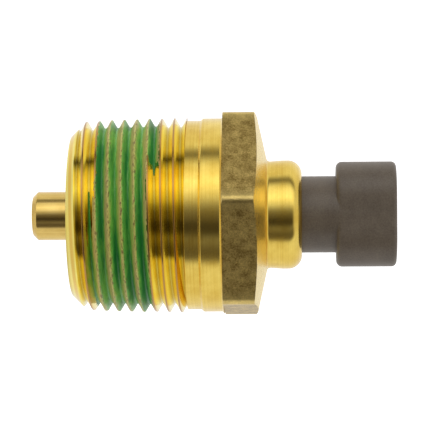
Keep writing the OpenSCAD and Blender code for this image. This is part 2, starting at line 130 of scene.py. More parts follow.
# The flags reach only some way to either side of the lens, and then the sky
# fades to this grey
flag_reach, flag_end, side_grey = 0.6, 0.85, (0.5, 0.49, 0.48, 1)
world = bpy.data.worlds.new("light tent")
bpy.context.scene.world = world
world.use_nodes = True
sky = world.node_tree
way = add_node(sky, "SeparateXYZ", {
    0: add_node(sky, "TexCoord").outputs["Generated"]})
height = add_node(sky, "Math", {
    0: way.outputs["Z"],
    1: add_node(sky, "Math", {0: way.outputs["Y"], 1: -1.0},
                operation="MULTIPLY").outputs[0]}, operation="ARCTAN2")
share = add_node(sky, "MapRange", {
    "Value": height.outputs[0], "From Min": -math.pi, "From Max": math.pi})
levels = add_node(sky, "ValToRGB", {0: share.outputs[0]}, stops=[
    ((angle + 180) / 360, [
        level / sky_strength * tint ** max(0, 1 - level / flag_below)
        for tint in flag_tint] + [1]) for angle, level in sky_levels])
aside = add_node(sky, "MapRange", {
    "Value": add_node(sky, "Math", {0: way.outputs["X"]}, operation="ABSOLUTE")
    .outputs[0], "From Min": flag_reach, "From Max": flag_end})
sky.links.new(add_node(sky, "MixRGB", {
    0: aside.outputs[0], 1: levels.outputs["Color"], 2: side_grey})
    .outputs[0], sky.nodes["Background"].inputs["Color"])
sky.nodes["Background"].inputs["Strength"].default_value = sky_strength

# The floor is a wide shallow bowl of matt white card, seen by the camera
# only, so that its light comes from the sky alone
floor_mesh = bmesh.new()
floor_gap = 24 * MM
floor_z = cad_box[0].z - floor_gap
rim = [(0, 0), (1.1, 0), (1.5, 0.05), (1.8, 0.25), (1.95, 0.6), (2, 2.2)]
edge = [floor_mesh.verts.new((r, 0, floor_z + z)) for r, z in rim]
lines = [floor_mesh.edges.new(pair) for pair in zip(edge, edge[1:])]
bmesh.ops.spin(
    floor_mesh, geom=edge + lines, cent=(0, 0, 0), axis=(0, 0, 1),
    dvec=(0, 0, 0), angle=2 * math.pi, steps=64, use_merge=True)
bmesh.ops.remove_doubles(floor_mesh, verts=floor_mesh.verts, dist=1e-5)
for face in floor_mesh.faces:
    face.smooth = True
floor_data = bpy.data.meshes.new("floor")
floor_mesh.to_mesh(floor_data)
floor_mesh.free()
floor = bpy.data.objects.new("floor", floor_data)
bpy.context.scene.collection.objects.link(floor)
card = bpy.data.materials.new("white_card")
card.use_nodes = True
card_shader = card.node_tree.nodes["Principled BSDF"]
card_shader.inputs["Roughness"].default_value = 0.9
# Card fibres, drawn about 1.1 mm across
fibre = add_node(card.node_tree, "TexNoise", {
    "Vector": add_node(card.node_tree, "TexCoord").outputs["Object"],
    "Scale": 900.0, "Detail": 2.0})
card.node_tree.links.new(
    add_node(card.node_tree, "ValToRGB", {0: fibre.outputs[0]}, stops=[
        (0.3, linear("#f4f4f3")), (0.7, linear("#fbfbfa"))]).outputs["Color"],
    card_shader.inputs["Base Color"])
card_shader.inputs["Emission Color"].default_value = (1, 1, 1, 1)
card_shader.inputs["Emission Strength"].default_value = 0.55
floor_data.materials.append(card)
for way_seen in ("diffuse", "glossy", "transmission", "shadow"):
    setattr(floor, "visible_" + way_seen, False)

# ---- Brass body: the turned parts ----
# One piece of free-cutting brass, turned: front face, two plain bands
# behind the thread, and the thin collar that is rolled over the connector's
# flange at the end. Inside are the passage, the chamber and the cavity.


def eased(corners, arcs=5):
    """Rounds each corner of a closed outline. A corner is x, radius from
    the axis and how far from the corner the rounding starts."""
    points = []
    for i, (x, r, ease) in enumerate(corners):
        here = Vector((x, r))
        if not ease:
            points.append(here)
            continue
        before = Vector(corners[i - 1][:2])
        after = Vector(corners[(i + 1) % len(corners)][:2])
        start = here + (before - here).normalized() * ease
        end = here + (after - here).normalized() * ease
        for k in range(arcs + 1):
            t = k / arcs
            points.append(
                start * (1 - t) ** 2 + here * 2 * t * (1 - t) + end * t * t)
    return points


def turned(corners, steps=160, arcs=5):
    """Turns a closed outline round the axis, in millimetres."""
    bm = bmesh.new()
    verts = [bm.verts.new((p.x, p.y, 0)) for p in eased(corners, arcs)]
    edges = [bm.edges.new((verts[i - 1], verts[i])) for i in range(len(verts))]
    bmesh.ops.spin(
        bm, geom=verts + edges, cent=(0, 0, 0), axis=(1, 0, 0),
        dvec=(0, 0, 0), angle=2 * math.pi, steps=steps, use_merge=True)
    bmesh.ops.remove_doubles(bm, verts=bm.verts, dist=1e-4)
    return bm


def finish_piece(bm, name, material, body, slot, *nodes, crease=32):
    """Makes a piece from a mesh in millimetres. It rides on its body and stands for the CAD
    nodes named. The slot argument is not used. Edges sharper than crease degrees stay sharp."""
    bmesh.ops.recalc_face_normals(bm, faces=bm.faces)
    bmesh.ops.scale(bm, vec=(MM, MM, MM), verts=bm.verts)
    for face in bm.faces:
        face.smooth = True
    for edge in bm.edges:
        edge.smooth = edge.calc_face_angle(0) < math.radians(crease)
    data = bpy.data.meshes.new(name)
    bm.to_mesh(data)
    bm.free()
    data.materials.append(material)
    piece = bpy.data.objects.new(name, data)
    bpy.context.scene.collection.objects.link(piece)
    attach(piece, body)
    if nodes:
        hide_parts(*nodes)
    return piece


def new_finish(name):
    """An empty finish: its material, its tree, its shader and its place."""
    material = bpy.data.materials.new(name)
    material.use_nodes = True
    tree = material.node_tree
    place = add_node(tree, "TexCoord").outputs["Object"]
    return material, tree, tree.nodes["Principled BSDF"], place


def grain(tree, place, size, detail=3.0, roughness=0.5):
    """Noise whose lumps measure size = x, y, z in millimetres."""
    fitted = add_node(tree, "Mapping", {
        "Vector": place, "Scale": [1 / (s * MM) for s in size]})
    return add_node(tree, "TexNoise", {
        "Vector": fitted.outputs[0], "Scale": 1.0, "Detail": detail,
        "Roughness": roughness}).outputs[0]


def brass_finish(name, colours, line_size, shine, bite):
    """Bare brass: a warm yellow metal. Tool lines lie across line_size's
    smallest side, and the colour drifts a little where it has tarnished.
    shine is the roughness of the brightest and the dullest parts."""
    material, tree, shader, place = new_finish(name)
    lines = grain(tree, place, line_size)
    tarnish = grain(tree, place, (5, 5, 5), 4.0, 0.6)
    drift = add_node(tree, "Math", {
        0: add_node(tree, "Math", {0: lines, 1: 0.35}, operation="MULTIPLY")
        .outputs[0],
        1: add_node(tree, "Math", {0: tarnish, 1: 0.65}, operation="MULTIPLY")
        .outputs[0]}, operation="ADD")
    tone = add_node(tree, "ValToRGB", {0: drift.outputs[0]}, stops=[
        (0.34, linear(colours[0])), (0.66, linear(colours[1]))])
    dull = add_node(tree, "MapRange", {
        "Value": drift.outputs[0], "From Min": 0.3, "From Max": 0.7,
        "To Min": shine[1], "To Max": shine[0]})
    bump = add_node(tree, "Bump", {
        "Height": lines, "Distance": bite * MM, "Strength": 1.0})
    tree.links.new(tone.outputs["Color"], shader.inputs["Base Color"])
    tree.links.new(dull.outputs[0], shader.inputs["Roughness"])
    tree.links.new(bump.outputs[0], shader.inputs["Normal"])
    shader.inputs["Metallic"].default_value = 1.0
    return material


# Turned free-cutting brass: bright, with fine rings left by the tool. The
# feed of 0.1 mm is drawn three times as coarse, so that it shows.
turned_brass = brass_finish(
    "turned_brass", ("#e2bc4e", "#fbde74"), (0.3, 60, 60), (0.13, 0.26), 0.002)

collar_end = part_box("brass_body")[1].x / MM
nozzle_hi_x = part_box("inlet_nozzle")[1].x / MM
lip_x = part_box("crimp_washer")[1].x / MM
neck_r = 6.75
cavity_r = 8.1
floor_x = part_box("diaphragm_seal_ring")[1].x / MM
groove_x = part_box("diaphragm_seal_ring")[0].x / MM
groove_out, groove_in = 7.2, 5.4
chamber_r, chamber_x = 4.5, nozzle_hi_x + 6
passage_r, shank_r = 1.6, 3.5
thread_core_r = 12.5
thread_len = 20.15
band1_r, band2_r, step_x = 16.54, 16.94, 22.75
hex_x, cone_end = 26.5, 34.0926
collar_base_r, collar_r, roll = 9.34, 9.5, 2.45
swell_x = cone_end + (collar_end - cone_end - roll) * 0.7
# The roll is a quarter round, from two corners eased by these amounts
roll_cut, roll_ease = roll * 0.586, roll * 0.41

finish_piece(
    turned([
        # The front face and the core that the thread stands on
        (0, shank_r, 0.3), (0, thread_core_r, 0), (thread_len, thread_core_r, 0),
        # The two bands, with a small step between them and one up to the hex
        (thread_len, band1_r, 0.12), (step_x - 0.2, band1_r, 0),
        (step_x + 0.2, band2_r, 0.08), (hex_x - 0.3, band2_r, 0.1),
        (hex_x, band2_r + 0.35, 0), (hex_x, collar_base_r, 0),
        # The fillet between the cone and the collar
        (cone_end - 0.2, collar_base_r, 0), (cone_end - 0.13, 9.95, 0),
        (cone_end + 0.03, 9.37, 0.45), (cone_end + 0.6, collar_base_r + 0.01, 0),
        # The collar, which swells a little and is rolled over at its end
        (swell_x, collar_r, 0.5), (collar_end - roll_cut, collar_r, roll_ease),
        (collar_end, collar_r - roll_cut, roll_ease),
        (collar_end, neck_r, 0.25), (lip_x, neck_r, 0), (lip_x, cavity_r, 0),
        # The cavity's floor with the seal's groove, the chamber and passage
        (floor_x, cavity_r, 0), (floor_x, groove_out, 0),
        (groove_x, groove_out, 0.2), (groove_x, groove_in, 0.2),
        (floor_x, groove_in, 0.1), (floor_x, chamber_r, 0.2),
        (chamber_x, chamber_r, 0.2), (chamber_x, passage_r, 0),
        (nozzle_hi_x, passage_r, 0), (nozzle_hi_x, shank_r, 0)], arcs=8),
    "body_turned", turned_brass, "switch_body", "body_brass", "brass_body")

# ---- Brass body: the pipe thread ----
# A right-hand taper pipe thread, 11.5 threads to the inch, cut with a single
# point in the same brass. Its crests are narrow flats with rounded edges, and
# a 45 degree chamfer leads in from the front face.

pitch = 25.4 / 11.5
crest_x = 1.98
front_r, front_face_r = 32.95 / 2, 14.075
taper = 1 / 32                  # of radius to length
root_drop = 1.62
# Half of the form: along the axis from the crest's middle, and down from it
half_form = [
    (0, 0), (0.075, 0), (0.115, 0.013), (0.145, 0.05), (0.17, 0.104),
    (0.4, 0.502), (0.63, 0.9), (0.86, 1.299), (0.985, 1.515), (1.04, 1.59),
    (1.075, root_drop), (pitch / 2, root_drop + 0.005)]


def helix(form, first, turns, steps):
    """Sweeps a form of (along, down) points round the thread's helix, from
    turn number first, in steps a turn. Each point keeps how far along the
    form and how deep it is."""
    bm = bmesh.new()
    along = bm.verts.layers.float.new("along")
    depth = bm.verts.layers.float.new("depth")
    verts = []
    for x, drop in form:
        vert = bm.verts.new((crest_x + x, front_r - drop, 0))
        vert[along], vert[depth] = x, drop
        verts.append(vert)
    edges = [bm.edges.new(pair) for pair in zip(verts, verts[1:])]
    bmesh.ops.rotate(bm, verts=verts, cent=(0, 0, 0),
                     matrix=Matrix.Rotation(2 * math.pi * first, 3, "X"))
    bmesh.ops.translate(bm, verts=verts, vec=(pitch * first, 0, 0))
    bmesh.ops.spin(
        bm, geom=verts + edges, cent=(0, 0, 0), axis=(1, 0, 0),
        dvec=(pitch / steps, 0, 0), angle=2 * math.pi, steps=steps)
    one_turn = bm.verts[:] + bm.edges[:] + bm.faces[:]
    for turn in range(1, turns):
        made = bmesh.ops.duplicate(bm, geom=one_turn)["geom"]
        bmesh.ops.translate(bm, vec=(pitch * turn, 0, 0), verts=[
            item for item in made if isinstance(item, bmesh.types.BMVert)])
    bmesh.ops.remove_doubles(bm, verts=bm.verts, dist=2e-3)
    return bm, along, depth


def set_radius(vert, r):
    """Moves a point straight out from the axis, or in, to a radius."""
    now = math.hypot(vert.co.y, vert.co.z)
    vert.co.y *= r / now
    vert.co.z *= r / now


form = [(-x, drop) for x, drop in reversed(half_form)] + half_form[1:]
# More turns than the thread has, to be cut square at both ends
thread, _, depth = helix(form, -2, 13, 144)
for vert in thread.verts:
    r = math.hypot(vert.co.y, vert.co.z) + vert.co.x * taper
    chamfer_r = front_face_r + max(vert.co.x, -1)
    set_radius(vert, min(r, chamfer_r))
    if r > chamfer_r:
        # The chamfer is fresh metal, below the tarnished crests
        vert[depth] = max(vert[depth], 0.1)
for cut_x, side in (
        (0, {"clear_inner": True}), (thread_len, {"clear_outer": True})):
    bmesh.ops.bisect_plane(
        thread, geom=thread.verts[:] + thread.edges[:] + thread.faces[:],
        plane_co=(cut_x, 0, 0), plane_no=(1, 0, 0), dist=1e-4, **side)
open_edges = [e for e in thread.edges if e.is_boundary]
wall = bmesh.ops.extrude_edge_only(thread, edges=open_edges)["geom"]
for item in wall:
    if isinstance(item, bmesh.types.BMVert):
        set_radius(item, thread_core_r)
bmesh.ops.bridge_loops(thread, edges=[
    item for item in wall
    if isinstance(item, bmesh.types.BMEdge) and item.is_boundary])

# Brass cut by a threading tool: the same metal, yellower and brighter. The roots are painted
# darker, as painted shade, and handling has browned the crests.
thread_brass = brass_finish(
    "thread_cut_brass", ("#fbe268", "#fff296"), (0.25, 9, 9), (0.07, 0.16), 0.003)
tree = thread_brass.node_tree
shader = tree.nodes["Principled BSDF"]
bare = shader.inputs["Base Color"].links[0].from_socket
how_deep = add_node(tree, "Attribute", attribute_name="depth").outputs["Fac"]
# Painted shade: the roots and the lower flanks are mixed towards dark brown
root_shade = add_node(tree, "MapRange", {
    "Value": how_deep, "From Min": 0.9, "From Max": root_drop, "To Max": 0.4})
# Light bounces about in the grooves, so the bare metal there is set paler
in_groove = add_node(tree, "MapRange", {
    "Value": how_deep, "From Min": 0.12, "From Max": 0.5})
metal = add_node(tree, "MixRGB", {
    0: in_groove.outputs[0], 1: linear("#efca62"), 2: bare})
root_shaded = add_node(tree, "MixRGB", {
    0: root_shade.outputs[0], 1: metal.outputs[0], 2: linear("#8f6a22")})
handled = add_node(tree, "MapRange", {
    "Value": how_deep, "From Min": 0.02, "From Max": 0.07, "To Min": 0.75,
    "To Max": 0.0})
tree.links.new(
    add_node(tree, "MixRGB", {
        0: handled.outputs[0], 1: root_shaded.outputs[0], 2: linear("#a0724e")})
    .outputs[0], shader.inputs["Base Color"])
finish_piece(thread, "body_thread", thread_brass, "switch_body", "body_brass",
             "brass_body", crease=50)

# ---- Brass body: the hex ----
# The hex keeps the rough skin it was forged with, matt and mottled, with its
# corners rubbed bright. It is turned to a shallow cone at the back.

hex_af = 33.34
hex_turn = 22                   # degrees, of a corner past the top
hex_round = 1.5
hex_len = 5.98
cone_slope = 0.22
front_break = 0.2
half_turn = math.radians(30)    # from a corner to the middle of a flat
corner_r = hex_af / 2 / math.cos(half_turn)


def next_ring(bm, ring, place):
    """Extrudes a ring of edges. place gives the new x and radius of each
    point from its angle round the axis."""
    made = bmesh.ops.extrude_edge_only(bm, edges=ring)["geom"]
    for item in made:
        if isinstance(item, bmesh.types.BMVert):
            angle = math.atan2(item.co.z, item.co.y)
            x, r = place(angle)
            item.co = (x, r * math.cos(angle), r * math.sin(angle))
    return [item for item in made
            if isinstance(item, bmesh.types.BMEdge) and item.is_boundary]


def first_ring(bm, x, r, angles):
    """A ring of edges with a point at each angle round the axis."""
    verts = [bm.verts.new((x, r * math.cos(a), r * math.sin(a))) for a in angles]
    return [bm.edges.new((verts[i - 1], verts[i])) for i in range(len(verts))]


# Points crowd where a corner turns, so that its rounding is smooth
ring_angles = []
corner_reach = 3.08
near_corner = [(k / 6 - 1) * corner_reach for k in range(13)]
for corner in range(6):
    middle = 60 * corner + hex_turn + 90
    for d in near_corner + [8, 15, 22, 30, 38, 45, 52]:
        ring_angles.append(math.radians(middle + d))


def rounded_hex(angle):
    """The hex's radius at an angle, with its corners rounded."""
    turn = math.radians(60)
    off = abs((angle - math.radians(90 + hex_turn) + turn / 2) % turn - turn / 2)
    flat = hex_af / 2 / math.cos(half_turn - off)
    centre = corner_r - hex_round / math.cos(half_turn)
    if centre * math.sin(off) >= hex_round * math.sin(half_turn):
        return flat
    arc = math.sqrt(hex_round ** 2 - (centre * math.sin(off)) ** 2)
    return min(flat, centre * math.cos(off) + arc)


def cone_x(r):
    """Where the cone's face is at a radius."""
    return hex_x + hex_len - (r - hex_af / 2) * cone_slope


hexagon = bmesh.new()
worn = hexagon.verts.layers.float.new("worn")
ring = first_ring(hexagon, hex_x, collar_base_r, ring_angles)
start = list(ring)
# The front face, whose corners are turned back a little
front_r_max = corner_r - hex_round * 0.15 - front_break
ring = next_ring(hexagon, ring, lambda a: (hex_x, min(rounded_hex(a), front_r_max)))
ring = next_ring(hexagon, ring, lambda a: (
    hex_x + max(0, rounded_hex(a) - front_r_max) * 1.25 + 0.02, rounded_hex(a)))
# The flats, in two steps back to the cone, and then the cone down to the collar
flat_x = hex_x + 1.4
for part_way in (0.5, 1.0):
    ring = next_ring(hexagon, ring, lambda a: (
        flat_x + (cone_x(rounded_hex(a)) - flat_x) * part_way, rounded_hex(a)))
for inset in (0.14, 0.3):
    ring = next_ring(hexagon, ring, lambda a: (
        cone_x(rounded_hex(a) - inset), rounded_hex(a) - inset))
ring = next_ring(hexagon, ring, lambda a: (
    cone_end - 0.1, collar_base_r + 0.1 / cone_slope))
ring = next_ring(hexagon, ring, lambda a: (cone_end, collar_base_r))
bmesh.ops.bridge_loops(hexagon, edges=start + ring)
corner_worn, worn_reach = 0.6, 2.2
for vert in hexagon.verts:
    angle = math.atan2(vert.co.z, vert.co.y)
    r = math.hypot(vert.co.y, vert.co.z)
    vert[worn] = max(0.0, corner_worn - (corner_r - rounded_hex(angle)) / worn_reach)
    if vert.co.x > hex_x + 1 and r < rounded_hex(angle) - 0.1:
        vert[worn] = 1

# Forged brass: matt and brownish, and pitted by the scale, with pits of
# about 0.26 mm. The corners are rubbed bright, and the cone is bare brass.
hex_brass, tree, shader, place = new_finish("forged_brass")
pits = grain(tree, place, (0.26, 0.26, 0.26), 5.0, 0.75)
blotch = grain(tree, place, (1.6, 1.6, 1.6), 4.0, 0.6)
mottle = add_node(tree, "Math", {
    0: add_node(tree, "Math", {0: pits, 1: 0.6}, operation="MULTIPLY").outputs[0],
    1: add_node(tree, "Math", {0: blotch, 1: 0.4}, operation="MULTIPLY").outputs[0],
}, operation="ADD")
skin = add_node(tree, "ValToRGB", {0: mottle.outputs[0]}, stops=[
    (0.36, linear("#6f5522")), (0.64, linear("#e2c576"))])
rubbed = add_node(tree, "Attribute", attribute_name="worn")
bright = add_node(tree, "MapRange", {
    "Value": rubbed.outputs["Fac"], "From Min": 0.1, "From Max": 1.0})
tree.links.new(add_node(tree, "MixRGB", {
    0: bright.outputs[0], 1: skin.outputs["Color"], 2: linear("#f8de8c")})
    .outputs[0], shader.inputs["Base Color"])
tree.links.new(add_node(tree, "MapRange", {
    "Value": bright.outputs[0], "To Min": 0.36, "To Max": 0.26}).outputs[0],
    shader.inputs["Roughness"])
tree.links.new(add_node(tree, "Bump", {
    "Height": mottle.outputs[0], "Distance": 0.07 * MM, "Strength": 0.9})
    .outputs[0], shader.inputs["Normal"])
shader.inputs["Metallic"].default_value = 1.0
finish_piece(hexagon, "body_hex", hex_brass, "switch_body", "body_brass",
             "brass_body", crease=20)

# ---- Thread sealant ----
# A factory coat of green acrylic sealant, brushed on wet round five grooves
# of the thread and dried. It fills the roots, is thin and scuffed through on
# the crests, and ends raggedly on the last groove.

coat_first, coat_turns = 0.43, 5
coat_film, root_fill = 0.07, 1.5
groove_form = half_form + [
    (pitch - x, drop) for x, drop in reversed(half_form[:-1])]
coat, along, depth = helix(groove_form, coat_first, coat_turns, 216)
for vert in coat.verts:
    x, y, z = vert.co
    u, drop = vert[along], vert[depth]
    turn = (x - crest_x - u) / pitch
    wobble = noise.noise(Vector((x * 0.5, y * 0.7, z * 0.7)))
    fine = noise.noise(Vector((x * 2.2 + 40, y * 1.1, z * 1.1)))
    thick = coat_film + root_fill * max(0, drop / root_drop - 0.85) + 0.01 * fine
    # Thinner in places along the crests
    if drop < 0.06:
        thick -= 0.05 * min(1, max(0, (wobble + fine) * 3))
    # Where thick falls below nothing the coat sinks into the brass: first at
    # the two ends of the helix, then along the edges that face bare thread
    near_end = min(turn - coat_first, coat_first + coat_turns - turn)
    ragged = 0.03 * (1 + fine + wobble)
    if near_end < ragged:
        thick -= 0.3 * (1 - near_end / ragged)
    edge_u = u if turn < coat_first + 1 else pitch
    if turn > coat_first + coat_turns - 1:
        edge_u = min(edge_u, pitch - u)
    ragged = 0.2 * (1 + fine) + 2.1 * max(0, 1 - (turn - coat_first) / 0.4)
    if edge_u < ragged:
        thick -= 0.5 * (1 - edge_u / ragged)
    set_radius(vert, math.hypot(y, z) + x * taper + thick)

# Dried acrylic with green pigment: semi-gloss. It is deeper green where it is thick in the roots
# and darker down the flanks as painted shade, and olive and brown where it is rubbed thin over
# the brass crests.
green, tree, shader, place = new_finish("green_sealant")
stroke = grain(tree, place, (0.35, 2.5, 2.5), 4.0, 0.6)
cloud = grain(tree, place, (2.2, 16, 16), 4.0)
specks = grain(tree, place, (0.24, 0.9, 0.9), 4.0, 0.75)
along_fac = add_node(tree, "Attribute", attribute_name="along").outputs["Fac"]
depth_fac = add_node(tree, "Attribute", attribute_name="depth").outputs["Fac"]
# One flank of each groove carries more of the coat than the other
lee = add_node(tree, "MapRange", {
    "Value": along_fac, "From Min": 0.7, "From Max": 1.5, "To Min": 0.26,
    "To Max": -0.1})
# Partly painted shade: the coat gets deeper green the further down the groove it lies, on the
# flanks as well, where its thickness does not change
deep_coat_and_shade = add_node(tree, "MapRange", {
    "Value": depth_fac, "From Max": root_drop, "To Min": -0.16, "To Max": 0.2})
by_place = add_node(tree, "Math", {0: lee.outputs[0], 1: deep_coat_and_shade.outputs[0]},
                    operation="ADD")
fine_cloud = add_node(tree, "MapRange", {
    "Value": stroke, "To Min": -0.2, "To Max": 0.2})
blend = add_node(tree, "Math", {
    0: add_node(tree, "Math", {0: cloud, 1: fine_cloud.outputs[0]},
                operation="ADD").outputs[0],
    1: by_place.outputs[0]}, operation="ADD")
paint = add_node(tree, "ValToRGB", {0: blend.outputs[0]}, stops=[
    (0.34, linear("#d8c276")), (0.48, linear("#c0cc66")),
    (0.62, linear("#78ca52")), (0.86, linear("#258a3a"))])
thin = add_node(tree, "MapRange", {
    "Value": depth_fac, "From Max": 0.09, "To Min": 0.7, "To Max": 0.0})
pale = add_node(tree, "MixRGB", {
    0: thin.outputs[0], 1: paint.outputs["Color"], 2: linear("#d2cb68")})
scuff = add_node(tree, "ValToRGB", {0: specks}, stops=[(0.5, 0.0), (0.62, 0.9)])
high = add_node(tree, "MapRange", {
    "Value": depth_fac, "From Max": 0.8, "To Min": 1.0, "To Max": 0.0})
scuffed = add_node(tree, "Math", {
    0: high.outputs[0], 1: scuff.outputs["Color"]}, operation="MULTIPLY")
tree.links.new(add_node(tree, "MixRGB", {
    0: scuffed.outputs[0], 1: pale.outputs[0], 2: linear("#6e4f26")})
    .outputs[0], shader.inputs["Base Color"])
tree.links.new(add_node(tree, "MapRange", {
    "Value": stroke, "To Min": 0.26, "To Max": 0.5}).outputs[0],
    shader.inputs["Roughness"])
tree.links.new(add_node(tree, "Bump", {
    "Height": stroke, "Distance": 0.05 * MM, "Strength": 0.8}).outputs[0],
    shader.inputs["Normal"])
sealant = finish_piece(coat, "sealant_coat", green, "switch_body",
                       "thread_sealant", "thread_sealant", crease=60)
# The coat is an open sheet until its thickness is added, on the inside, so
# its faces have to look away from the axis first
if sum(f.normal.yz.dot(f.center.yz) for f in sealant.data.polygons) < 0:
    sealant.data.flip_normals()
coat_wall = sealant.modifiers.new("coat thickness", "SOLIDIFY")
coat_wall.thickness = 0.1 * MM
coat_wall.offset = -1

# ---- Inlet nozzle and snubber ----
# A short spigot of drawn brass rod, chamfered at the tip and drilled
# through, pressed into the front face. A stainless plug with a fine orifice
# sits in the passage behind it.

nozzle_lo_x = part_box("inlet_nozzle")[0].x / MM
nozzle_r, inlet_r, tip_cut = 4.25, 1.0, 0.85
# Drawn brass rod: paler, with faint lines along the rod from the die.
drawn_brass = brass_finish(
    "drawn_brass", ("#d6b460", "#efcf7c"), (14, 0.3, 0.3), (0.13, 0.26), 0.004)
finish_piece(
    turned([
        (nozzle_lo_x, inlet_r, 0.25), (nozzle_lo_x, nozzle_r - tip_cut, 0.08),
        (nozzle_lo_x + tip_cut, nozzle_r, 0.12), (-0.05, nozzle_r, 0),
        (0, nozzle_r - 0.05, 0), (0, shank_r, 0), (nozzle_hi_x, shank_r, 0.2),
        (nozzle_hi_x, inlet_r, 0.1)], steps=96),
    "inlet_spigot", drawn_brass, "switch_body", "nozzle_brass", "inlet_nozzle")


def plain_finish(name, colours, size, shine, bite, metallic=0.0, detail=3.0):
    """A finish whose colour, shine and relief all follow one grain."""
    material, tree, shader, place = new_finish(name)
    lumps = grain(tree, place, size, detail, 0.6)
    tone = add_node(tree, "ValToRGB", {0: lumps}, stops=[
        (0.3, linear(colours[0])), (0.7, linear(colours[1]))])
    dull = add_node(tree, "MapRange", {
        "Value": lumps, "From Min": 0.3, "From Max": 0.7,
        "To Min": shine[0], "To Max": shine[1]})
    bump = add_node(tree, "Bump", {
        "Height": lumps, "Distance": bite * MM, "Strength": 1.0})
    tree.links.new(tone.outputs["Color"], shader.inputs["Base Color"])
    tree.links.new(dull.outputs[0], shader.inputs["Roughness"])
    tree.links.new(bump.outputs[0], shader.inputs["Normal"])
    shader.inputs["Metallic"].default_value = metallic
    return material


def dress(material, *nodes):
    """Gives CAD nodes their finish."""
    for name in nodes:
        for material_slot in frame["nodes"][name].material_slots:
            material_slot.material = material


# Turned stainless steel: grey and bright, with fine rings.
stainless = plain_finish(
    "turned_stainless", ("#a7a8a6", "#cfd0cd"), (0.2, 40, 40), (0.2, 0.34),
    0.002, metallic=1.0)
dress(stainless, "snubber_plug", "pressure_piston")

# ---- Diaphragm, its seal and its guide ring ----
# A dished polyimide sheet seals the chamber. A nitrile ring lies in the
# groove under its rim, and a turned brass ring clamps it and guides the
# piston's stem.

# Polyimide film: amber, smooth and glossy, with faint streaks from casting.
film = plain_finish(
    "polyimide_film", ("#9a5a1c", "#b9742a"), (6, 0.8, 6), (0.16, 0.26), 0.003)
film_lo, film_hi = (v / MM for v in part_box("diaphragm"))
dish_r, rim_r = 3.2, 4.4
travel = frame["joints"][0]["range_m"][1] / MM
film_t = film_hi.x - film_lo.x - travel
diaphragm = finish_piece(
    turned([
        (film_lo.x, 0, 0), (film_lo.x, dish_r, 0.3),
        (film_hi.x - film_t, rim_r, 0.3), (film_hi.x - film_t, film_hi.y, 0),
        (film_hi.x, film_hi.y, 0), (film_hi.x, rim_r, 0.3),
        (film_lo.x + film_t, dish_r, 0.3), (film_lo.x + film_t, 0, 0)],
        steps=96),
    "diaphragm_sheet", film, "switch_body", "diaphragm_film", "diaphragm")
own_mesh(diaphragm)

# Moulded nitrile rubber: black and matt, with a fine bloom on it.
nitrile = plain_finish(
    "nitrile_rubber", ("#121212", "#232322"), (0.25, 0.25, 0.25), (0.5, 0.7),
    0.01)
dress(nitrile, "diaphragm_seal_ring", "housing_seal_ring")
dress(drawn_brass, "guide_ring")

# ---- Pusher, contact bridge and clip ----
# A phenolic pusher rides on the piston's stem. A light spring holds the
# bronze bridge with its two silver contacts up against an open clip.

# Moulded phenolic: dark brown, with light flecks of its wood filler.
phenolic = plain_finish(
    "moulded_phenolic", ("#3a2113", "#6a4227"), (0.3, 0.3, 0.9), (0.35, 0.5),
    0.008, detail=5.0)
dress(phenolic, "insulating_pusher")
# Rolled phosphor bronze: coppery, with fine rolling lines.
bronze = plain_finish(
    "rolled_bronze", ("#b98a4e", "#d9aa69"), (40, 0.15, 8), (0.2, 0.32),
    0.002, metallic=1.0)
dress(bronze, "contact_bridge")
# Fine silver: very pale, dulled in spots by tarnish and small arcs.
silver = plain_finish(
    "contact_silver", ("#b9b4a6", "#efeeea"), (0.4, 0.4, 0.4), (0.2, 0.4),
    0.006, metallic=1.0, detail=5.0)
dress(silver, "moving_contacts", "fixed_contacts")
# Stamped spring steel, oil tempered: blue-grey with a thin brown bloom.
spring_sheet = plain_finish(
    "tempered_steel", ("#6d6a66", "#93928f"), (0.6, 0.6, 0.6), (0.3, 0.42),
    0.004, metallic=1.0)
dress(spring_sheet, "bridge_clip")


# Known fault: the section below is turned to lie across the radius, so the wire comes out as a
# flat ribbon and not round.
def wind(x0, length, mean_r, wire_r, turns, closed, steps=40, sides=14):
    """Winds a compression spring whose end turns lie closed. The section is
    spun wide apart, and then the turns are drawn in to their places."""
    bm = bmesh.new()
    made = bmesh.ops.create_circle(
        bm, cap_ends=True, radius=wire_r, segments=sides)["verts"]
    bmesh.ops.rotate(bm, verts=made, cent=(0, 0, 0),
                     matrix=Matrix.Rotation(math.radians(90), 3, "X"))
    bmesh.ops.translate(bm, verts=made, vec=(0, mean_r, 0))
    wide = 8 * wire_r
    bmesh.ops.spin(
        bm, geom=bm.faces[:] + bm.edges[:] + bm.verts[:], cent=(0, 0, 0),
        axis=(1, 0, 0), dvec=(wide / steps, 0, 0),
        angle=2 * math.pi * turns, steps=round(turns * steps))
    wire = 2 * wire_r
    rise = length - wire - 2 * closed * wire
    for vert in bm.verts:
        angle = math.atan2(vert.co.z, vert.co.y) / (2 * math.pi)
        turn = angle + round(vert.co.x / wide - angle)
        off = vert.co.x - wide * turn
        if turn < closed:
            x = turn * wire
        elif turn > turns - closed:
            x = length - wire - (turns - turn) * wire
        else:
            x = closed * wire + (turn - closed) / (turns - 2 * closed) * rise
        vert.co.x = x0 + wire_r + x + off
    return bm


# Bronze spring wire, drawn: fine lines run round with the coil.
light_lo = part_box("contact_spring")[0].x / MM
light_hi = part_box("contact_spring")[1].x / MM
light_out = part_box("contact_spring")[1].y / MM
light_wire = 0.175              # the wire's radius
light_spring = finish_piece(
    wind(light_lo, light_hi - light_lo, light_out - light_wire, light_wire,
         3.5, 0.8, steps=32, sides=10),
    "bridge_spring", bronze, "plunger", "spring_steel", "contact_spring")
# The pusher goes on after the contacts meet, which closes the light spring
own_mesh(light_spring)

# ---- Set spring and shim ----
# A music-wire compression spring pushes the pusher forward. A stainless
# shim behind it is picked to set the switching pressure.

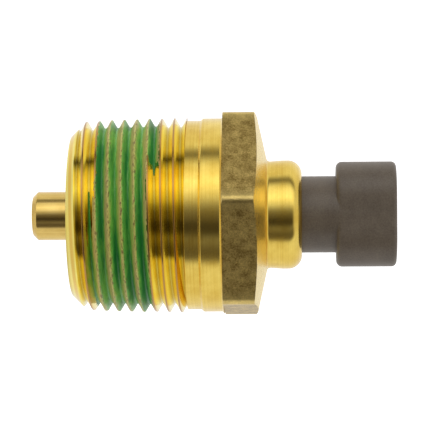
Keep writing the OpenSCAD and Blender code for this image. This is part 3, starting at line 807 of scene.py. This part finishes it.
# Music wire: dark grey and bright, with fine die lines round the coil.
music_wire = plain_finish(
    "music_wire", ("#77787a", "#a3a4a5"), (0.12, 0.5, 0.5), (0.2, 0.32),
    0.002, metallic=1.0)
set_lo, set_hi = (v.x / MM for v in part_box("set_spring"))
set_wire, set_mean = 0.4, 2.95  # the radii of the wire and of the coil
set_spring = finish_piece(
    wind(set_lo, set_hi - set_lo, set_mean, set_wire, 5, 0.8),
    "main_spring", music_wire, "switch_body", "spring_steel", "set_spring")
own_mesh(set_spring)
dress(stainless, "calibration_shim", "crimp_washer")

# ---- Contact base and terminals ----
# A moulded polyester cup backs the set spring and holds two tinned strips,
# whose silver contacts face the bridge. Resin seals the blades where they
# pass into the connector.

# Glass-filled polyester: ivory, with faint flow marks and glass fibres.
polyester = plain_finish(
    "glass_filled_polyester", ("#cfc5a8", "#e3dbc2"), (0.4, 0.12, 0.9),
    (0.42, 0.56), 0.008, detail=4.0)
dress(polyester, "contact_base")
# Tinned brass strip: soft grey-white, with fine rolling lines along it.
tin = plain_finish(
    "tinned_brass", ("#b3b1aa", "#d8d7d2"), (6, 0.15, 0.25), (0.24, 0.38),
    0.003, metallic=1.0)
dress(tin, "terminal_blade_upper", "terminal_blade_lower")
# Epoxy resin: black and glossy, with a slightly uneven poured skin.
resin = plain_finish(
    "potting_resin", ("#0d0d0e", "#1b1b1c"), (1.2, 1.2, 1.2), (0.12, 0.24),
    0.02)
dress(resin, "terminal_potting")

# ---- Connector housing ----
# One moulding of grey polyamide: a round neck with its flange held under the
# rolled collar, and an oval head with the socket for a sealed two-way plug.
# The mould was spark eroded, which leaves the outside evenly matt.

house_lo, house_hi = (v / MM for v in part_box("connector_housing"))
neck_out, flange_out = 6.7, 8.05
head_x, head_w, head_h, head_r = house_hi.x - 10.45, 13.35, 18.35, 5.95
flange_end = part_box("crimp_washer")[0].x / MM
seal_x0, seal_x1, seal_r = house_lo.x + 2.6, house_lo.x + 4.6, 6.9
well_x, socket_x = house_hi.x - 13, house_hi.x - 9
mouth_ease, rear_ease, socket_ease = 0.85, 1.0, 0.35
# Width, height and corner radius of the well, the socket and the rear pocket
well_w, well_h, well_r = 5, 9, 1.5
socket_w, socket_h, socket_r = 9.95, 14.95, 4.25
pocket_w, pocket_h, pocket_r = 3.6, 9.2, 1.2
pocket_deep = 1.6


def oval(angle, w, h, r):
    """The radius at an angle of an oval w wide, h high, with corner r."""
    c, s = abs(math.cos(angle)), abs(math.sin(angle))
    side = w / 2 / c if c > 1e-9 else 1e9
    top = h / 2 / s if s > 1e-9 else 1e9
    if side * s <= h / 2 - r:
        return side
    if top * c <= w / 2 - r:
        return top
    cy, cz = w / 2 - r, h / 2 - r
    on = cy * c + cz * s
    return on + math.sqrt(max(0, on * on - cy * cy - cz * cz + r * r))


def oval_row(x, w, h, r, least=0):
    """Where a ring of points lies for an oval, no nearer than least."""
    return lambda a: (x, max(least, oval(a, w, h, r)))


# Up the well and the socket, round the mouth, back along the outside, down
# the neck, round the flange with the seal's groove, and into the rear pocket
rows = [oval_row(socket_x - 0.2, well_w, well_h, well_r),
        oval_row(socket_x, well_w + 0.4, well_h + 0.4, well_r + 0.2),
        oval_row(socket_x, socket_w - 0.3, socket_h - 0.3, socket_r - 0.15),
        oval_row(socket_x + 0.15, socket_w, socket_h, socket_r),
        oval_row(house_hi.x - socket_ease, socket_w, socket_h, socket_r)]
for k in range(1, 5):
    turn = math.radians(90 * k / 4)
    grow = 2 * socket_ease * (1 - math.cos(turn))
    rows.append(oval_row(house_hi.x - socket_ease * (1 - math.sin(turn)),
                         socket_w + grow, socket_h + grow, socket_r + grow / 2))
for k in range(7):
    turn = math.radians(90 * k / 6)
    cut = 2 * mouth_ease * (1 - math.sin(turn))
    rows.append(oval_row(house_hi.x - mouth_ease * (1 - math.cos(turn)),
                         head_w - cut, head_h - cut, head_r - cut / 2))
for k in range(8):
    turn = math.radians(90 * k / 7)
    cut = 2 * rear_ease * (1 - math.cos(turn))
    rows.append(oval_row(head_x + rear_ease * (1 - math.sin(turn)),
                         head_w - cut, head_h - cut, head_r - cut / 2,
                         least=neck_out))
for x, r in ((head_x - 0.02, neck_out), (head_x - 0.3, neck_out),
             (flange_end, neck_out),
             (flange_end, flange_out), (seal_x1, flange_out), (seal_x1, seal_r),
             (seal_x0, seal_r), (seal_x0, flange_out),
             (house_lo.x + 0.3, flange_out), (house_lo.x, flange_out - 0.3)):
    rows.append(oval_row(x, 2 * r, 2 * r, r))
for x in (house_lo.x, house_lo.x + pocket_deep):
    rows.append(oval_row(x, pocket_w, pocket_h, pocket_r))

housing = bmesh.new()
around = [2 * math.pi * k / 192 for k in range(192)]
ring = first_ring(housing, well_x, 1, around)
for vert in housing.verts:
    angle = math.atan2(vert.co.z, vert.co.y)
    set_radius(vert, oval(angle, well_w, well_h, well_r))
bmesh.ops.edgeloop_fill(housing, edges=ring)
for row in rows:
    ring = next_ring(housing, ring, row)
bmesh.ops.edgeloop_fill(housing, edges=ring)
# The latch ramp on the far side stands in the head's wall, as its own shell
ramp_x, ramp_w = house_hi.x - 1.5, 5
ramp = [(-3.6, 5.7), (0, 5.7), (0, 6.675), (-3.2, 7.875), (-3.6, 7.875)]
corners = [housing.verts.new((ramp_x + x, y, -ramp_w / 2)) for x, y in ramp]
base = housing.faces.new(corners)
sides = bmesh.ops.extrude_face_region(housing, geom=[base])["geom"]
bmesh.ops.translate(housing, vec=(0, 0, ramp_w), verts=[
    item for item in sides if isinstance(item, bmesh.types.BMVert)])
ramp_faces = {f for v in corners for f in v.link_faces} | {
    item for item in sides if isinstance(item, bmesh.types.BMFace)}
ramp_edges = {e for f in ramp_faces for e in f.edges}
bmesh.ops.bevel(housing, geom=list(ramp_edges), offset=0.25, segments=3,
                profile=0.5, affect="EDGES", material=-1)

# Moulded polyamide: warm grey, evenly matt from the spark-eroded mould,
# whose 0.1 mm texture is drawn at 0.25 mm, with faint broad flow marks.
grey, tree, shader, place = new_finish("moulded_polyamide")
spark = grain(tree, place, (0.25, 0.25, 0.25), 3.0, 0.6)
flow = grain(tree, place, (4, 7, 5), 3.0)
mixed = add_node(tree, "Math", {
    0: add_node(tree, "Math", {0: spark, 1: 0.55}, operation="MULTIPLY")
    .outputs[0],
    1: add_node(tree, "Math", {0: flow, 1: 0.45}, operation="MULTIPLY")
    .outputs[0]}, operation="ADD")
tree.links.new(add_node(tree, "ValToRGB", {0: mixed.outputs[0]}, stops=[
    (0.32, linear("#5c5144")), (0.68, linear("#7a6e5f"))]).outputs["Color"],
    shader.inputs["Base Color"])
tree.links.new(add_node(tree, "MapRange", {
    "Value": spark, "To Min": 0.34, "To Max": 0.5}).outputs[0],
    shader.inputs["Roughness"])
tree.links.new(add_node(tree, "Bump", {
    "Height": spark, "Distance": 0.02 * MM, "Strength": 0.8}).outputs[0],
    shader.inputs["Normal"])
finish_piece(housing, "connector_moulding", grey, "switch_body",
             "housing_plastic", "connector_housing", crease=28)
